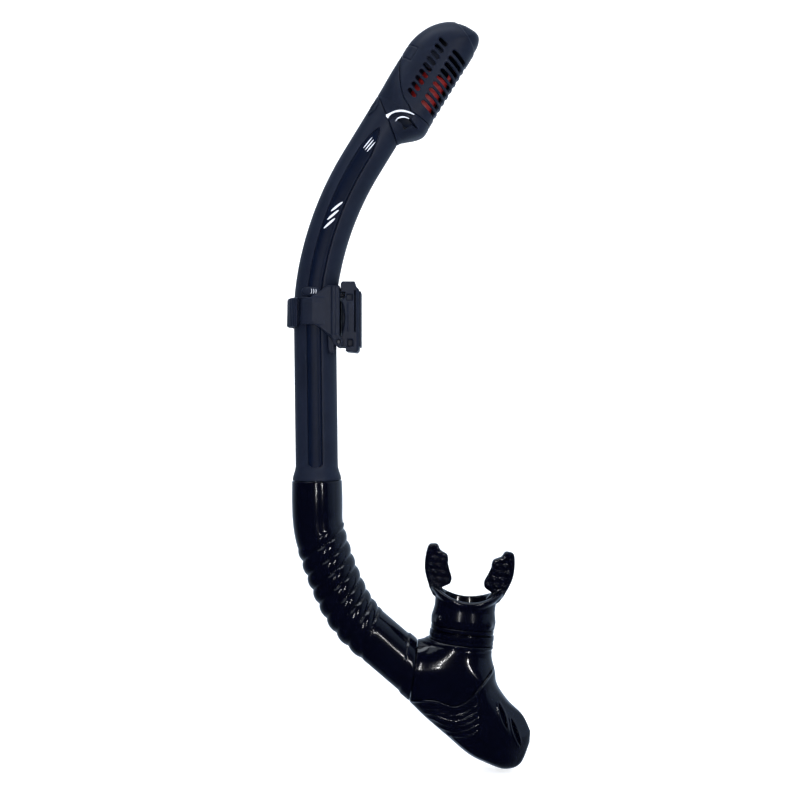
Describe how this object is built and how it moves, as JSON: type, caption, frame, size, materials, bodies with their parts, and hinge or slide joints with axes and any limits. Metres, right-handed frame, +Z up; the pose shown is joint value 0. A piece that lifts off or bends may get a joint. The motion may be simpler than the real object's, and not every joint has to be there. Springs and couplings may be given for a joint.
{
  "type": "dry-top snorkel tube",
  "caption": "Curved snorkel tube with a slotted dry top, hinged strap keeper, corrugated flex tube, mouthpiece and purge boot.",
  "frame": {"origin": "centre of the strap seat, the flat face of the keeper bracket that the mask strap lies on", "axes": "+Z up along the barrel, +X out of the strap seat towards the mouthpiece side, +Y to the back"},
  "size_m": [0.146, 0.032, 0.4465],
  "materials": {
    "satin_plastic": "satin moulded, blue-black",
    "gloss_plastic": "polished moulded, near black",
    "black_silicone": "glossy moulded silicone, near black",
    "seal_silicone": "translucent dark silicone",
    "float_red": "satin red",
    "pin_steel": "fine turned stainless"
  },
  "bodies": {
    "keeper": {"keeper_band": "satin_plastic", "gate_pin": "pin_steel"},
    "gate": {"strap_gate": "satin_plastic"},
    "barrel": {"upper_tube": "satin_plastic", "trim_strip_front": "gloss_plastic", "trim_strip_back": "gloss_plastic", "top_base": "satin_plastic", "guard_cover": "satin_plastic", "top_gasket": "seal_silicone", "flap_pin": "pin_steel", "flex_tube": "black_silicone"},
    "float": {"float": "float_red"},
    "flap": {"flap_lever": "gloss_plastic", "flap_seal": "seal_silicone"},
    "lower": {"chamber_housing": "gloss_plastic", "mouthpiece": "black_silicone", "mouthpiece_tie": "satin_plastic", "mouth_retaining_ring": "gloss_plastic", "purge_cover": "black_silicone", "purge_gasket": "seal_silicone", "purge_valve_seat": "gloss_plastic"},
    "diaphragm": {"purge_diaphragm": "seal_silicone"}
  },
  "joints": [
    {"name": "keeper_swivel", "type": "hinge", "parent": "keeper", "child": "barrel", "pos_m": [-0.01515, 0, 0.00279], "axis": [0.0247, 0, 0.9997], "continuous": true},
    {"name": "gate_hinge", "type": "hinge", "parent": "keeper", "child": "gate", "pos_m": [-0.0004, 0, -0.0167], "axis": [0, 1, 0], "range_deg": [0, 45]},
    {"name": "float_slide", "type": "slide", "parent": "barrel", "child": "float", "axis": [0.5225, 0, 0.8526], "range_m": [0, 0.005]},
    {"name": "flap_hinge", "type": "hinge", "parent": "barrel", "child": "flap", "pos_m": [0.06012, 0, 0.15276], "axis": [0, -1, 0], "range_deg": [0, 24]},
    {"name": "flex_bend", "type": "hinge", "parent": "barrel", "child": "lower", "pos_m": [-0.00143, 0, -0.16304], "axis": [0, 1, 0], "range_deg": [-15, 35], "stiffness_Nm_per_rad": 1.2, "springref_deg": -1.72, "deforming": ["flex_tube"]},
    {"name": "purge_lift", "type": "slide", "parent": "lower", "child": "diaphragm", "axis": [0.7694, 0, -0.6388], "range_m": [0, 0.002], "stiffness_N_per_m": 40}
  ],
  "couplings": [
    {"joint": "flap_hinge", "follows": "float_slide", "rad_per_m": 82.38}
  ]
}
